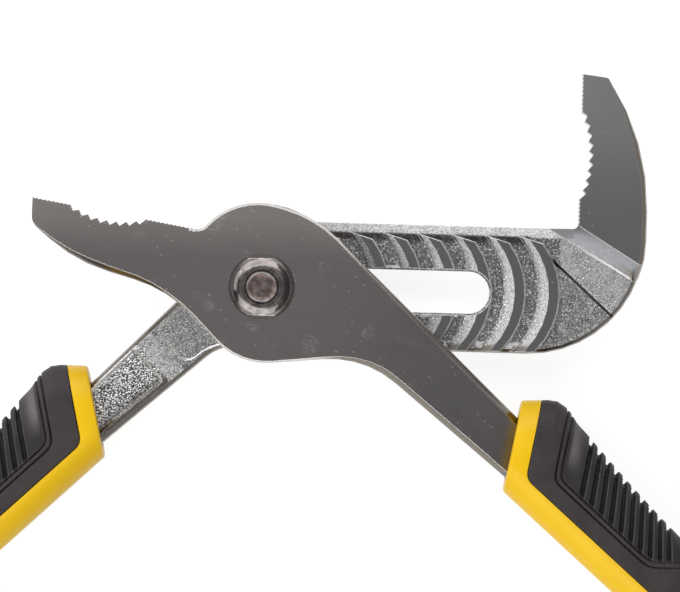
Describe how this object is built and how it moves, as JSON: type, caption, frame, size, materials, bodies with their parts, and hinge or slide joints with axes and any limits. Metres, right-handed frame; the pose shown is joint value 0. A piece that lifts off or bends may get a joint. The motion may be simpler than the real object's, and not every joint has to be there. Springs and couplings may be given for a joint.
{
  "type": "water pump pliers",
  "caption": "Slip-joint pliers with curved toothed jaws, a slotted lever with arc-shaped grooves, a tongue lever on a sliding pivot bolt, and two-part soft grips.",
  "frame": {"origin": "on the pivot bolt's axis at the rear face of its head, with the bolt at the end of the slot that opens the jaws widest", "axes": "+X along the slot towards the slotted lever's jaw, +Y towards the jaw tips, +Z along the bolt towards the nut; the pliers lie on their back"},
  "size_m": [0.289, 0.1731, 0.02],
  "materials": {
    "slotted_lever": "plated over a pebbled forging, smooth on the lands and the jaw",
    "tongue_lever": "polished flat face, plated edges",
    "pivot_bolt": "plain steel, dished end",
    "pivot_nut": "bright plated",
    "slotted_grip_sleeve": "satin yellow moulding",
    "slotted_grip_cover": "matte black overmould",
    "tongue_grip_sleeve": "satin yellow moulding",
    "tongue_grip_cover": "matte black overmould"
  },
  "bodies": {
    "slotted_lever": {"slotted_lever": "slotted_lever", "slotted_grip_sleeve": "slotted_grip_sleeve", "slotted_grip_cover": "slotted_grip_cover"},
    "pivot": {"pivot_bolt": "pivot_bolt", "pivot_nut": "pivot_nut"},
    "tongue_lever": {"tongue_lever": "tongue_lever", "tongue_grip_sleeve": "tongue_grip_sleeve", "tongue_grip_cover": "tongue_grip_cover"}
  },
  "joints": [
    {"name": "bolt_slide", "type": "slide", "parent": "slotted_lever", "child": "pivot", "axis": [1, 0, 0], "range_m": [0, 0.04956]},
    {"name": "jaw_hinge", "type": "hinge", "parent": "pivot", "child": "tongue_lever", "pos_m": [0, 0, 0], "axis": [0, 0, -1], "range_deg": [0, 92]}
  ]
}
